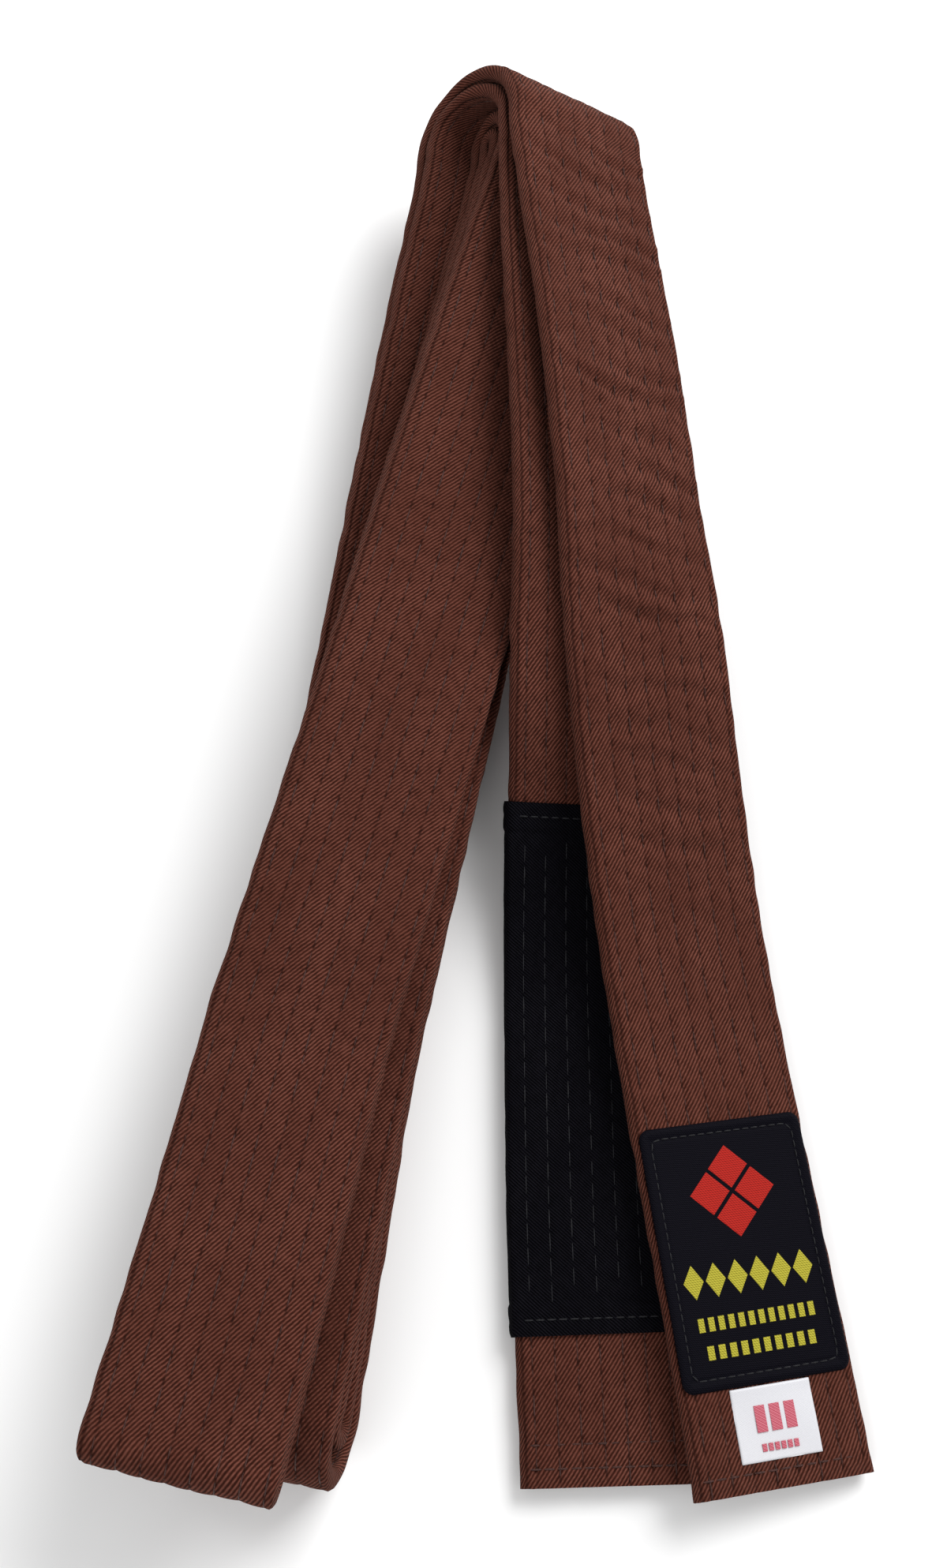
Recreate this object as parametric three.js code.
// A cotton martial arts belt, folded in eight passes and laid flat.
// Millimetres, +Z up. The belt runs along Y; the loops are at +Y, both free ends at -Y.
import * as THREE from 'three';

// ---- Driving sizes ----
const BELT_LENGTH = 2860;
const STRAP_WIDTH = 42;
const STRAP_THICKNESS = 4.4;
const COVER_WALL = 0.6;
const SEAM_SLIT = 0.5;
const PLY_COUNT = 3;
const PLY_CLEARANCE = 0.15;
const END_CAP = 0.7;

// ---- Clearances ----
const CUT_GAP = 0.3;
const SEWN_GAP = 0.15;
const TAIL_LIFT = 0.2;

// ---- Rank bar, a black sleeve sewn round the rear tail ----
const BAR_START = 32;
const BAR_LENGTH = 125;
const BAR_WALL = 0.6;
const BAR_HEM = 7;
const BAR_HEM_WALL = 0.85;
const BAR_CLEARANCE = 0.2;

// ---- Woven label and size tag on the front tail ----
const LABEL_LENGTH = 58;
const LABEL_MARGIN = 1;
const LABEL_THICKNESS = 0.5;
const LABEL_BORDER = 2.5;
const MARK_THICKNESS = 0.25;
const EMBLEM_MARGIN = 5;
const EMBLEM_GAP = 4;
const LETTER_BARS = [
  { from: 19.5, length: 7.5, inset: 4 },
  { from: 12.5, length: 3, inset: 5.5 },
  { from: 6.5, length: 3, inset: 6.5 },
];
const TAG_WIDTH = 19;
const TAG_LENGTH = 15.6;
const TAG_THICKNESS = 0.3;
const TAG_CLEARANCE = 1.7;
const TAG_MARKS = 2;
const TAG_MARK_WIDTH = 9;
const TAG_MARK_LENGTH = 2;

// ---- Sewing thread ----
const THREAD_WIDTH = 0.8;
const THREAD_HEIGHT = 0.3;
const THREAD_INSET = 2;
const FRONT_END_ROWS = [4];
const REAR_END_ROWS = [4, 9];

// ---- The folded shape ----
const FREE_TAILS = 2;
const FRONT_FOLD_PASSES = 2;
const REAR_FOLD_PASSES = 4;
const PASSES = FREE_TAILS + FRONT_FOLD_PASSES + REAR_FOLD_PASSES;
const FRONT_FOLD_SHORTER = 4;
const REAR_FOLD_SHORTER = 13;
const SLOPE_ALLOWANCE = 4;
const TOP_Y = 172.5;
// Sideways places are in strap widths, because each pass lies beside or across the others.
const LEG_TOP_X = 0.13;
const LEG_DRIFT = -1.31;
const TAIL_SHIFT = 0.112;
const BACK_SHIFT = -0.083;
const FRONT_SHIFT = 0.19;
const FRONT_FOLD_SHIFT = -0.229;
const REAR_FOLD_FAN = [0.07, 0.05, 0.015, 0];
const BAR_HOLD_PER_MM = 0.0006;
const REST_PLACE = 0.88;
const PASS_STEPS = 14;
const LARGE_LOOP_STEPS = 10;
const SMALL_LOOP_STEPS = 6;
const TAIL_CUT_STEP = 5;
const FOLD_CUT_STEP = 8;

const FINISHES = {
  cover: { color: 0x57332a, roughness: 0.95 },
  ply: { color: 0xd9cdb8, roughness: 0.95 },
  bar: { color: 0x101116, roughness: 0.9 },
  barThread: { color: 0x1b1c22, roughness: 0.85 },
  thread: { color: 0x6a4438, roughness: 0.85 },
  label: { color: 0x131319, roughness: 0.75 },
  emblem: { color: 0x9c1f25, roughness: 0.7 },
  letters: { color: 0xc8be3c, roughness: 0.7 },
  labelThread: { color: 0x202028, roughness: 0.85 },
  tag: { color: 0xf0eeea, roughness: 0.35 },
  tagPrint: { color: 0xc2505a, roughness: 0.5 },
};

const V = THREE.Vector3;
const radians = THREE.MathUtils.degToRad;
const mix = THREE.MathUtils.lerp;

// A smooth curve through a few [place, value] pairs that never overshoots; level at its start.
function profile(pairs) {
  const last = pairs.length - 1;
  const slopes = pairs.map(([x, y], i) => {
    if (i === 0) return 0;
    const before = (y - pairs[i - 1][1]) / (x - pairs[i - 1][0]);
    if (i === last) return before;
    const after = (pairs[i + 1][1] - y) / (pairs[i + 1][0] - x);
    return before * after > 0 ? (2 * before * after) / (before + after) : 0;
  });
  return (place) => {
    let i = 0;
    while (i < last - 1 && place > pairs[i + 1][0]) i += 1;
    const [x0, y0] = pairs[i];
    const [x1, y1] = pairs[i + 1];
    const span = x1 - x0;
    const t = (place - x0) / span;
    const rise = t * t * (3 - 2 * t);
    const leave = t * (1 - t) * (1 - t) * span * slopes[i];
    const arrive = t * t * (t - 1) * span * slopes[i + 1];
    return y0 + (y1 - y0) * rise + leave + arrive;
  };
}

// Profiles along a pass: 0 is where it leaves the top loops, 1 is its lower end.
const legRoll = profile([[0, 32], [0.125, 26], [0.33, 17], [0.457, 12], [0.657, 3], [0.746, 0], [1, 0]]);
const layerGap = profile([[0, 0.4], [0.5, 0.8], [0.657, 1.2], [0.806, 1.8], [1, 3.6]]);
const legDrift = profile([[0, 0], [0.06, 0.045], [0.12, 0.11], [1, 1]]);

// The front tail comes down over the bar, so a longer bar holds it up a little further along.
const barHold = BAR_HOLD_PER_MM * BAR_LENGTH;

const rearTail = {
  roll: profile([[0, 32], [0.09, 30], [0.33, 27], [0.39, 22], [0.43, 17], [0.54, 10], [0.687, 0], [1, 0]]),
  drift: profile([[0, 0], [0.33, 0.09], [0.54, 0.108], [0.8, 0.115], [1, 0.16]]),
  settle: profile([[0, 0], [0.09, 0.01], [0.33, 0.18], [0.39, 0.25], [0.43, 0.32], [0.478, 0.475],
    [0.54, 0.79], [0.61, 0.95], [0.687, 1], [1, 1]]),
  lift: TAIL_LIFT + BAR_CLEARANCE + BAR_HEM_WALL,
};
const frontTail = {
  roll: profile([[0, 32], [0.31, 28], [0.43, 17], [0.54, 13.5], [0.66, 13], [0.88, 12], [1, 10]]),
  drift: profile([[0, 0], [0.06, 0.043], [0.18, 0.162], [0.54, 0.443], [1, 0.981]]),
  settle: profile([[0, 0], [0.18, 0.07], [0.31, 0.19], [0.355 + barHold, 0.355], [0.465 + barHold, 0.655],
    [0.66, 0.9], [0.8, 0.97], [0.92, 0.99], [1, 1]]),
  lift: TAIL_LIFT + BAR_CLEARANCE + BAR_HEM_WALL / 2,
};

const pitchAt = (along) => STRAP_THICKNESS + layerGap(along);

// Loop radii, counted in layer pitches: four nested at the top, two nested and one single below.
const TOP_LOOPS = 3.5 + 2.5 + 1.5 + 0.5;
const BOTTOM_LOOPS = 1.5 + 0.5 + 0.5;
const loopLength = Math.PI * (TOP_LOOPS * pitchAt(0) + BOTTOM_LOOPS * pitchAt(1));
const foldedShort = FRONT_FOLD_PASSES * FRONT_FOLD_SHORTER + REAR_FOLD_PASSES * REAR_FOLD_SHORTER;
const PASS_LENGTH = (BELT_LENGTH - loopLength + foldedShort) / PASSES - SLOPE_ALLOWANCE;
const LEG_REACH = Math.sqrt(PASS_LENGTH ** 2 - (LEG_DRIFT * STRAP_WIDTH) ** 2);
const FRONT_FOLD_REACH = LEG_REACH - FRONT_FOLD_SHORTER;
const REAR_FOLD_REACH = LEG_REACH - REAR_FOLD_SHORTER;

// Height of a strap's centre line when its right edge rests on the ground.
const groundHeight = (roll) => (STRAP_WIDTH / 2) * Math.sin(roll) + (STRAP_THICKNESS / 2) * Math.cos(roll);

// A pass in the left leg. The roll lifts its left edge.
function legPass(layer, topShift, bottomShift, reach) {
  return (along) => {
    const roll = radians(legRoll(along));
    const across = new V(Math.cos(roll), 0, -Math.sin(roll));
    const upward = new V(Math.sin(roll), 0, Math.cos(roll));
    const shift = STRAP_WIDTH * mix(topShift, bottomShift, legDrift(along));
    const x = STRAP_WIDTH * (LEG_TOP_X + LEG_DRIFT * legDrift(along));
    const point = new V(x, TOP_Y - reach * along, groundHeight(roll));
    point.addScaledVector(across, shift).addScaledVector(upward, layer * pitchAt(along));
    return { point, roll };
  };
}

// A free tail, which leaves the pile and settles on the ground.
function tailPass(layer, shape) {
  const pile = legPass(layer, TAIL_SHIFT, TAIL_SHIFT, LEG_REACH);
  const startX = pile(0).point.x;
  return (along) => {
    const roll = radians(shape.roll(along));
    const height = mix(pile(along).point.z, groundHeight(roll) + shape.lift, shape.settle(along));
    const x = startX + STRAP_WIDTH * shape.drift(along);
    return { point: new V(x, TOP_Y - PASS_LENGTH * along, height), roll };
  };
}

const passes = {
  a: legPass(0, BACK_SHIFT, REAR_FOLD_FAN[0], REAR_FOLD_REACH),
  b: legPass(1, BACK_SHIFT, REAR_FOLD_FAN[1], REAR_FOLD_REACH),
  c: legPass(2, FRONT_SHIFT, REAR_FOLD_FAN[2], REAR_FOLD_REACH),
  d: legPass(3, FRONT_SHIFT, REAR_FOLD_FAN[3], REAR_FOLD_REACH),
  e: legPass(4, FRONT_SHIFT, FRONT_FOLD_SHIFT, FRONT_FOLD_REACH),
  f: legPass(5, FRONT_SHIFT, FRONT_FOLD_SHIFT, FRONT_FOLD_REACH),
  rear: tailPass(6, rearTail),
  front: tailPass(7, frontTail),
};

// A frame on the strap: its centre, the way the belt runs, its width and its front face's normal.
function makeFrame(point, run, across) {
  const normal = new V().crossVectors(across, run).normalize();
  return { point, run, across, normal };
}

const SMALL = 1e-4;
const NEAR_PLACE = 2e-3;

// direction is 1 where the belt runs down the pass and -1 where it runs back up.
function passFrame(name, along, direction) {
  const place = passes[name];
  const { point, roll } = place(along);
  const ahead = place(along + SMALL).point.sub(place(along - SMALL).point).normalize();
  const heading = Math.atan2(ahead.x, -ahead.y);
  const flat = Math.cos(roll);
  const across = new V(flat * Math.cos(heading), flat * Math.sin(heading), -Math.sin(roll));
  return makeFrame(point, ahead.multiplyScalar(direction), across);
}

function loopFrame(from, to, end, turn) {
  const outward = end === 0 ? -1 : 1;
  const first = passFrame(from, end, 1);
  const second = passFrame(to, end, 1);
  const centre = first.point.clone().add(second.point).multiplyScalar(0.5);
  const half = second.point.clone().sub(first.point).multiplyScalar(0.5);
  const radius = half.length();
  const placeAt = (t) => {
    const reach = first.run.clone().lerp(second.run, t).normalize().multiplyScalar(outward);
    return centre.clone()
      .addScaledVector(half, -Math.cos(Math.PI * t))
      .addScaledVector(reach, radius * Math.sin(Math.PI * t));
  };
  const run = placeAt(turn + SMALL).sub(placeAt(turn - SMALL)).normalize();
  const across = first.across.clone().lerp(second.across, turn).normalize();
  return makeFrame(placeAt(turn), run, across);
}

// Distances from each tail's free end where something sewn on starts or stops.
const barEnd = BAR_START + BAR_LENGTH;
const hems = { lower: BAR_START, upper: barEnd - BAR_HEM };
const sleeveStart = hems.lower + BAR_HEM + CUT_GAP;
const sleeveEnd = hems.upper - CUT_GAP;
const tagStart = Math.max(...FRONT_END_ROWS) + THREAD_WIDTH / 2 + TAG_CLEARANCE;
const tagEnd = tagStart + TAG_LENGTH;
const labelStart = tagEnd + CUT_GAP;
const labelEnd = labelStart + LABEL_LENGTH;

function hemPlaces(start) {
  const row = start + BAR_HEM / 2;
  return [start, row - THREAD_WIDTH / 2, row + THREAD_WIDTH / 2, start + BAR_HEM];
}
const sewnPlaces = {
  rear: [...hemPlaces(hems.lower), sleeveStart, sleeveEnd, ...hemPlaces(hems.upper)],
  front: [labelStart, labelEnd],
};

// Places along a pass where its surface bends. All solids that lie along each other share them.
function placesBetween(name, from, to) {
  const sewn = (sewnPlaces[name] ?? []).map((distance) => 1 - distance / PASS_LENGTH);
  const [low, high] = [Math.min(from, to), Math.max(from, to)];
  const isFree = (place) => sewn.every((other) => Math.abs(other - place) > NEAR_PLACE);
  const places = Array.from({ length: PASS_STEPS + 1 }, (_, step) => step / PASS_STEPS).filter(isFree);
  const between = [...places, ...sewn].filter((place) => place > low + SMALL && place < high - SMALL);
  between.sort((p, q) => p - q);
  const all = [low, ...between, high];
  return to > from ? all : all.reverse();
}

// Frames down or up one pass between two step numbers, with a cut gap kept at a cut end.
function passFrames(name, fromStep, toStep, { cutStart = false, cutEnd = false } = {}) {
  const direction = toStep > fromStep ? 1 : -1;
  const half = (CUT_GAP / 2 / PASS_LENGTH) * direction;
  const from = fromStep / PASS_STEPS + (cutStart ? half : 0);
  const to = toStep / PASS_STEPS - (cutEnd ? half : 0);
  return placesBetween(name, from, to).map((along) => passFrame(name, along, direction));
}

// Frames round a loop, without the two ends it shares with its passes.
function loopFrames(from, to, end, steps) {
  const frames = [];
  for (let i = 1; i < steps; i += 1) frames.push(loopFrame(from, to, end, i / steps));
  return frames;
}

// Frames between two distances from a tail's free end, listed the way the belt runs there.
function tailFrames(name, fromEnd, toEnd) {
  const places = placesBetween(name, 1 - toEnd / PASS_LENGTH, 1 - fromEnd / PASS_LENGTH);
  if (name === 'rear') return places.map((along) => passFrame(name, along, 1));
  return places.reverse().map((along) => passFrame(name, along, -1));
}

// Splits one face between two frames. Faces that lie along each other always split the same way.
function pushFace(index, corners, rises, facesUp) {
  const [a0, a1, b0, b1] = corners;
  if (rises === facesUp) index.push(a0, b0, b1, a0, b1, a1);
  else index.push(a0, b0, a1, b0, b1, a1);
}

const rising = ([u0, v0], [u1, v1]) => (u1 === u0 ? v1 > v0 : u1 > u0);

function solidFrom(positions, index) {
  const geometry = new THREE.BufferGeometry();
  geometry.setAttribute('position', new THREE.Float32BufferAttribute(positions, 3));
  geometry.setIndex(index);
  return geometry;
}

function placePoints(frames, section) {
  return frames.flatMap(({ point, across, normal }) => section.flatMap(([u, v]) => (
    point.clone().addScaledVector(across, u).addScaledVector(normal, v).toArray()
  )));
}

// Sweeps a section, [across, outward] points in counter-clockwise order, along the frames.
function sweep(frames, section) {
  const count = section.length;
  const index = [];
  for (let ring = 0; ring < frames.length - 1; ring += 1) {
    const facesUp = frames[ring].normal.z > 0;
    for (let i = 0; i < count; i += 1) {
      const j = (i + 1) % count;
      const corners = [ring * count + i, ring * count + j, (ring + 1) * count + i, (ring + 1) * count + j];
      pushFace(index, corners, rising(section[i], section[j]), facesUp);
    }
  }
  const outline = section.map(([u, v]) => new THREE.Vector2(u, v));
  const farEnd = (frames.length - 1) * count;
  for (const [p, q, r] of THREE.ShapeUtils.triangulateShape(outline, [])) {
    index.push(p, q, r, farEnd + p, farEnd + r, farEnd + q);
  }
  return solidFrom(placePoints(frames, section), index);
}

function rectangle(width, low, high, centre = 0) {
  const [left, right] = [centre - width / 2, centre + width / 2];
  return [[left, low], [right, low], [right, high], [left, high]];
}

// The cover's section: a flat tube, open along its seam edge.
function coverSection() {
  const half = STRAP_WIDTH / 2;
  const high = STRAP_THICKNESS / 2;
  const innerHalf = half - COVER_WALL;
  const innerHigh = high - COVER_WALL;
  const slit = SEAM_SLIT / 2;
  return [
    [-half, -high], [half, -high], [half, high], [-half, high], [-half, slit],
    [-innerHalf, slit], [-innerHalf, innerHigh], [innerHalf, innerHigh],
    [innerHalf, -innerHigh], [-innerHalf, -innerHigh], [-innerHalf, -slit], [-half, -slit],
  ];
}

const CORE_WIDTH = STRAP_WIDTH - 2 * COVER_WALL - 2 * PLY_CLEARANCE;
const CORE_HEIGHT = STRAP_THICKNESS - 2 * COVER_WALL;
const PLY_THICKNESS = (CORE_HEIGHT - (PLY_COUNT + 1) * PLY_CLEARANCE) / PLY_COUNT;

function plySection(number) {
  const low = -CORE_HEIGHT / 2 + PLY_CLEARANCE + number * (PLY_THICKNESS + PLY_CLEARANCE);
  return rectangle(CORE_WIDTH, low, low + PLY_THICKNESS);
}

// A closed sleeve's section is a ring, so its sweep joins an outer and an inner outline.
function sleeve(frames, wall) {
  const width = STRAP_WIDTH + 2 * BAR_CLEARANCE;
  const high = STRAP_THICKNESS / 2 + BAR_CLEARANCE;
  const outer = rectangle(width + 2 * wall, -high - wall, high + wall);
  const inner = rectangle(width, -high, high);
  const corners = outer.length;
  const section = [...outer, ...inner];
  const ringSize = section.length;
  const index = [];
  const quad = (p, q, r, s) => index.push(p, q, r, p, r, s);
  const farEnd = (frames.length - 1) * ringSize;
  for (let i = 0; i < corners; i += 1) {
    const j = (i + 1) % corners;
    quad(i, j, corners + j, corners + i);
    quad(farEnd + j, farEnd + i, farEnd + corners + i, farEnd + corners + j);
    for (let ring = 0; ring < frames.length - 1; ring += 1) {
      const facesUp = frames[ring].normal.z > 0;
      const [here, next] = [ring * ringSize, (ring + 1) * ringSize];
      const [inHere, inNext] = [here + corners, next + corners];
      pushFace(index, [here + i, here + j, next + i, next + j], rising(outer[i], outer[j]), facesUp);
      pushFace(index, [inHere + j, inHere + i, inNext + j, inNext + i], rising(inner[j], inner[i]), facesUp);
    }
  }
  return solidFrom(placePoints(frames, section), index);
}

// A flat frame of thread: one closed ring lying on the label.
function threadRing(frameAt, width, length, low) {
  const corner = (u, distance, v) => {
    const { point, across, normal } = frameAt(distance);
    return point.clone().addScaledVector(across, u).addScaledVector(normal, v);
  };
  const positions = [];
  const levels = [low, low + THREAD_HEIGHT];
  const outlines = [0, THREAD_WIDTH].map((inset) => {
    const half = width / 2 - inset;
    const near = labelStart + (LABEL_LENGTH - length) / 2 + inset;
    const far = near + length - 2 * inset;
    return [[-half, near], [half, near], [half, far], [-half, far]];
  });
  for (const level of levels) {
    for (const [u, distance] of outlines.flat()) {
      const p = corner(u, distance, level);
      positions.push(p.x, p.y, p.z);
    }
  }
  const index = [];
  const quad = (p, q, r, s) => index.push(p, q, r, p, r, s);
  const corners = 4;
  const top = 2 * corners;
  for (let i = 0; i < corners; i += 1) {
    const j = (i + 1) % corners;
    quad(top + i, top + j, top + corners + j, top + corners + i);
    quad(j, i, corners + i, corners + j);
    quad(i, j, top + j, top + i);
    quad(corners + j, corners + i, top + corners + i, top + corners + j);
  }
  return solidFrom(positions, index);
}

const belt = new THREE.Group();

function add(name, geometry, kind) {
  geometry.computeVertexNormals();
  const mesh = new THREE.Mesh(geometry, new THREE.MeshStandardMaterial(FINISHES[kind]));
  mesh.name = name;
  belt.add(mesh);
}

// ---- Strap: one run of frames for each stretch between cuts ----
const capDepth = END_CAP + SEWN_GAP;

function shorten(frames, name, atStart) {
  const direction = name === 'front' ? -1 : 1;
  const frame = passFrame(name, 1 - capDepth / PASS_LENGTH, direction);
  return atStart ? [frame, ...frames.slice(1)] : [...frames.slice(0, -1), frame];
}

const stretches = {
  front_tail: shorten(passFrames('front', PASS_STEPS, TAIL_CUT_STEP, { cutEnd: true }), 'front', true),
  front_tail_upper: passFrames('front', TAIL_CUT_STEP, 0, { cutStart: true, cutEnd: true }),
  outer_bundle: [
    passFrame('front', 0, -1),
    ...loopFrames('front', 'a', 0, LARGE_LOOP_STEPS),
    ...passFrames('a', 0, PASS_STEPS),
    ...loopFrames('a', 'd', 1, LARGE_LOOP_STEPS),
    ...passFrames('d', PASS_STEPS, 0),
    ...loopFrames('d', 'e', 0, SMALL_LOOP_STEPS),
    ...passFrames('e', 0, FOLD_CUT_STEP, { cutEnd: true }),
  ],
  front_fold: [
    ...passFrames('e', FOLD_CUT_STEP, PASS_STEPS, { cutStart: true }),
    ...loopFrames('e', 'f', 1, SMALL_LOOP_STEPS),
    ...passFrames('f', PASS_STEPS, FOLD_CUT_STEP, { cutEnd: true }),
  ],
  inner_bundle: [
    ...passFrames('f', FOLD_CUT_STEP, 0, { cutStart: true }),
    ...loopFrames('f', 'c', 0, LARGE_LOOP_STEPS),
    ...passFrames('c', 0, PASS_STEPS),
    ...loopFrames('c', 'b', 1, SMALL_LOOP_STEPS),
    ...passFrames('b', PASS_STEPS, 0),
    ...loopFrames('b', 'rear', 0, LARGE_LOOP_STEPS),
    passFrame('rear', 0, 1),
  ],
  rear_tail: shorten(passFrames('rear', 0, PASS_STEPS, { cutStart: true }), 'rear', false),
};

for (const [name, frames] of Object.entries(stretches)) {
  add(`${name}_cover`, sweep(frames, coverSection()), 'cover');
  for (let ply = 0; ply < PLY_COUNT; ply += 1) {
    add(`${name}_ply_${ply + 1}`, sweep(frames, plySection(ply)), 'ply');
  }
}

// ---- Turned-in ends ----
const endSection = rectangle(STRAP_WIDTH, -STRAP_THICKNESS / 2, STRAP_THICKNESS / 2);
add('front_end_cap', sweep(tailFrames('front', 0, END_CAP), endSection), 'cover');
add('rear_end_cap', sweep(tailFrames('rear', 0, END_CAP), endSection), 'cover');

// ---- Thread rows across the strap ----
const OUTER = STRAP_THICKNESS / 2;
function threadRow(name, tail, distance, surface, width, kind) {
  const side = tail === 'front' ? 1 : -1;
  const levels = [side * (surface + SEWN_GAP), side * (surface + SEWN_GAP + THREAD_HEIGHT)];
  const section = rectangle(width, Math.min(...levels), Math.max(...levels));
  const frames = tailFrames(tail, distance - THREAD_WIDTH / 2, distance + THREAD_WIDTH / 2);
  add(name, sweep(frames, section), kind);
}
const rowWidth = STRAP_WIDTH - 2 * THREAD_INSET;
FRONT_END_ROWS.forEach((distance, i) => {
  threadRow(`front_end_stitch_${i + 1}`, 'front', distance, OUTER, rowWidth, 'thread');
});
REAR_END_ROWS.forEach((distance, i) => {
  threadRow(`rear_end_stitch_${i + 1}`, 'rear', distance, OUTER, rowWidth, 'thread');
});

// ---- Rank bar ----
add('rank_bar_sleeve', sleeve(tailFrames('rear', sleeveStart, sleeveEnd), BAR_WALL), 'bar');
for (const [place, start] of Object.entries(hems)) {
  add(`rank_bar_hem_${place}`, sleeve(tailFrames('rear', start, start + BAR_HEM), BAR_HEM_WALL), 'bar');
  const surface = OUTER + BAR_CLEARANCE + BAR_HEM_WALL;
  threadRow(`rank_bar_stitch_${place}`, 'rear', start + BAR_HEM / 2, surface, rowWidth, 'barThread');
}

// ---- Woven label ----
const labelWidth = STRAP_WIDTH - 2 * LABEL_MARGIN;
const labelLow = OUTER + SEWN_GAP;
const labelTop = labelLow + LABEL_THICKNESS;
const labelFrames = tailFrames('front', labelStart, labelEnd);
add('woven_label', sweep(labelFrames, rectangle(labelWidth, labelLow, labelTop)), 'label');

// Marks on the label are placed by their distance from its lower edge.
function labelMark(name, from, length, width, kind) {
  const low = labelTop + SEWN_GAP;
  const frames = tailFrames('front', labelStart + from, labelStart + from + length);
  add(name, sweep(frames, rectangle(width, low, low + MARK_THICKNESS)), kind);
}
const emblemStart = Math.max(...LETTER_BARS.map(({ from, length }) => from + length)) + EMBLEM_GAP;
const emblemRoom = [LABEL_LENGTH - EMBLEM_MARGIN - emblemStart, labelWidth - 2 * EMBLEM_MARGIN];
const emblemSize = Math.min(...emblemRoom);
labelMark('label_emblem', emblemStart, emblemSize, emblemSize, 'emblem');
LETTER_BARS.forEach(({ from, length, inset }, i) => {
  labelMark(`label_bar_${i + 1}`, from, length, labelWidth - 2 * inset, 'letters');
});
const ringWidth = labelWidth - LABEL_BORDER;
const ringLength = LABEL_LENGTH - LABEL_BORDER;
const frontAt = (distance) => passFrame('front', 1 - distance / PASS_LENGTH, -1);
add('label_stitch', threadRing(frontAt, ringWidth, ringLength, labelTop + SEWN_GAP), 'labelThread');

// ---- Satin size tag, hinged where it leaves the label ----
const tagTop = labelLow + TAG_THICKNESS;
add('size_tag', sweep(tailFrames('front', tagStart, tagEnd), rectangle(TAG_WIDTH, labelLow, tagTop)), 'tag');
for (let mark = 0; mark < TAG_MARKS; mark += 1) {
  const from = tagStart + TAG_MARK_LENGTH * (1 + 2 * mark);
  const section = rectangle(TAG_MARK_WIDTH, tagTop + SEWN_GAP, tagTop + SEWN_GAP + MARK_THICKNESS);
  const frames = tailFrames('front', from, from + TAG_MARK_LENGTH);
  add(`size_tag_mark_${mark + 1}`, sweep(frames, section), 'tagPrint');
}

// ---- Origin at the bottom centre of the whole belt ----
const box = new THREE.Box3().setFromObject(belt);
const middle = box.getCenter(new V());
const shift = new V(-middle.x, -middle.y, -box.min.z);
for (const mesh of belt.children) mesh.position.copy(shift);

// Hinge lines, on the outer surface of the strap where it bends.
function hingeLine(frame, height) {
  const at = frame.point.clone().addScaledVector(frame.normal, height).add(shift);
  return { at: at.toArray(), axis: frame.across.clone().negate().toArray() };
}
belt.userData.hinges = {
  tails: hingeLine(passFrame('front', 0, -1), OUTER),
  front_tail: hingeLine(passFrame('front', TAIL_CUT_STEP / PASS_STEPS, -1), OUTER),
  front_fold: hingeLine(passFrame('f', FOLD_CUT_STEP / PASS_STEPS, -1), OUTER),
  size_tag: hingeLine(frontAt(labelStart), labelTop),
};
const restPlace = passFrame('a', REST_PLACE, 1).point.add(shift);
belt.userData.restFace = [restPlace.x, restPlace.y, 0];
belt.userData.size = box.getSize(new V()).toArray();
belt.userData.passLength = PASS_LENGTH;

export default belt;
